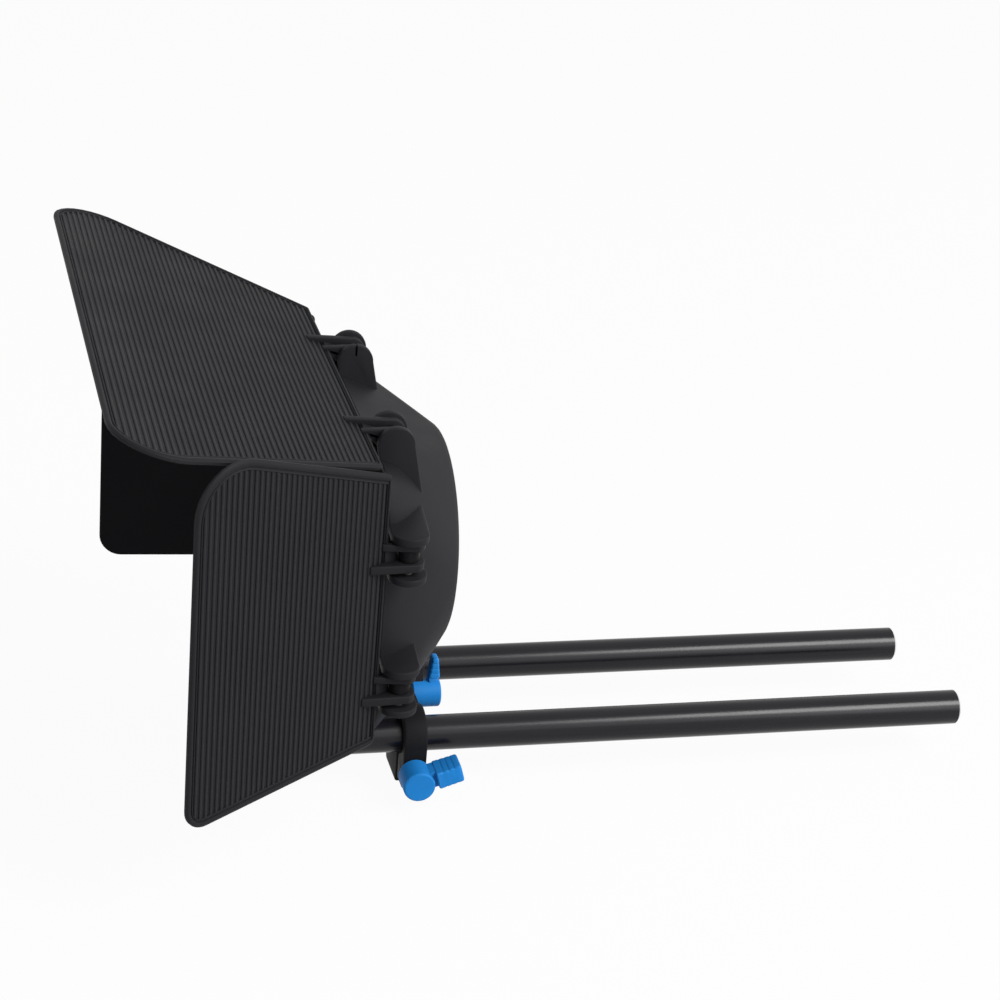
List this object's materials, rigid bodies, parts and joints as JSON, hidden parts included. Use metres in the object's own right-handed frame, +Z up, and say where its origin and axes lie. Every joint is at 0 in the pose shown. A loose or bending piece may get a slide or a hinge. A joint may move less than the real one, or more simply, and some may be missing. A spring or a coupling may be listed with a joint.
{
  "type": "matte box",
  "caption": "Clamp-on matte box: flared bell with three ribbed folding flags, on a height-adjustable bridge that clamps two support rods.",
  "frame": {"origin": "Midway between the two rod axes, in the plane of the rod bridge's front face", "axes": "+X to the operator's left, +Y rearward along the rods (away from the scene), +Z up; metres"},
  "size_m": [0.2627, 0.3864, 0.2055],
  "materials": {
    "black_plastic": "fine matte moulding texture",
    "sleeve_plastic": "smooth, slightly waxy",
    "blue_plastic": "satin moulding",
    "dark_steel": "blackened, worn at the edges",
    "brass_insert": "turned",
    "black_anodised": "satin black anodised, faint lengthwise lines"
  },
  "bodies": {
    "bridge": {"rod_bridge": "black_plastic", "clamp_insert_left": "brass_insert", "clamp_insert_right": "brass_insert", "clamp_washer_left": "dark_steel", "clamp_washer_right": "dark_steel", "height_lock_bolt": "dark_steel", "height_washer": "dark_steel"},
    "housing": {"bell_housing": "black_plastic", "slotted_plate": "dark_steel", "plate_screw_left": "dark_steel", "plate_screw_right": "dark_steel", "top_hinge_pin_left": "dark_steel", "top_hinge_pin_right": "dark_steel", "left_hinge_pin_upper": "dark_steel", "left_hinge_pin_lower": "dark_steel", "right_hinge_pin_upper": "dark_steel", "right_hinge_pin_lower": "dark_steel", "top_hinge_sleeve_left": "sleeve_plastic", "top_hinge_sleeve_right": "sleeve_plastic", "left_hinge_sleeve_upper": "sleeve_plastic", "left_hinge_sleeve_lower": "sleeve_plastic", "right_hinge_sleeve_upper": "sleeve_plastic", "right_hinge_sleeve_lower": "sleeve_plastic"},
    "top_flag": {"top_flag": "black_plastic"},
    "side_flag_left": {"side_flag_left": "black_plastic"},
    "side_flag_right": {"side_flag_right": "black_plastic"},
    "rod_left": {"rod_left": "black_anodised"},
    "rod_right": {"rod_right": "black_anodised"},
    "clamp_knob_left": {"clamp_knob_left": "blue_plastic", "clamp_stud_left": "dark_steel"},
    "clamp_knob_right": {"clamp_knob_right": "blue_plastic", "clamp_stud_right": "dark_steel"},
    "height_knob": {"height_knob": "blue_plastic"}
  },
  "joints": [
    {"name": "height_slide", "type": "slide", "parent": "bridge", "child": "housing", "axis": [0, 0, 1], "range_m": [-0.006, 0.012]},
    {"name": "top_flag_hinge", "type": "hinge", "parent": "housing", "child": "top_flag", "pos_m": [0, -0.0157, 0.1442], "axis": [-1, 0, 0], "range_deg": [0, 75]},
    {"name": "left_flag_hinge", "type": "hinge", "parent": "housing", "child": "side_flag_left", "pos_m": [0.0851, -0.0147, 0.0804], "axis": [0, 0, 1], "range_deg": [0, 60]},
    {"name": "right_flag_hinge", "type": "hinge", "parent": "housing", "child": "side_flag_right", "pos_m": [-0.0851, -0.0147, 0.0804], "axis": [0, 0, -1], "range_deg": [-26, 0]},
    {"name": "left_rod_slide", "type": "slide", "parent": "bridge", "child": "rod_left", "axis": [0, 1, 0], "range_m": [-0.24, 0.045]},
    {"name": "right_rod_slide", "type": "slide", "parent": "bridge", "child": "rod_right", "axis": [0, 1, 0], "range_m": [-0.233, 0.052]},
    {"name": "clamp_knob_left_turn", "type": "hinge", "parent": "bridge", "child": "clamp_knob_left", "pos_m": [0.0436, 0.0044, -0.0113], "axis": [1, 0, 0], "continuous": true},
    {"name": "clamp_knob_right_turn", "type": "hinge", "parent": "bridge", "child": "clamp_knob_right", "pos_m": [-0.0436, 0.0044, -0.0113], "axis": [-1, 0, 0], "continuous": true},
    {"name": "height_knob_turn", "type": "hinge", "parent": "bridge", "child": "height_knob", "pos_m": [0, 0.0109, 0.0025], "axis": [0, 1, 0], "continuous": true}
  ]
}
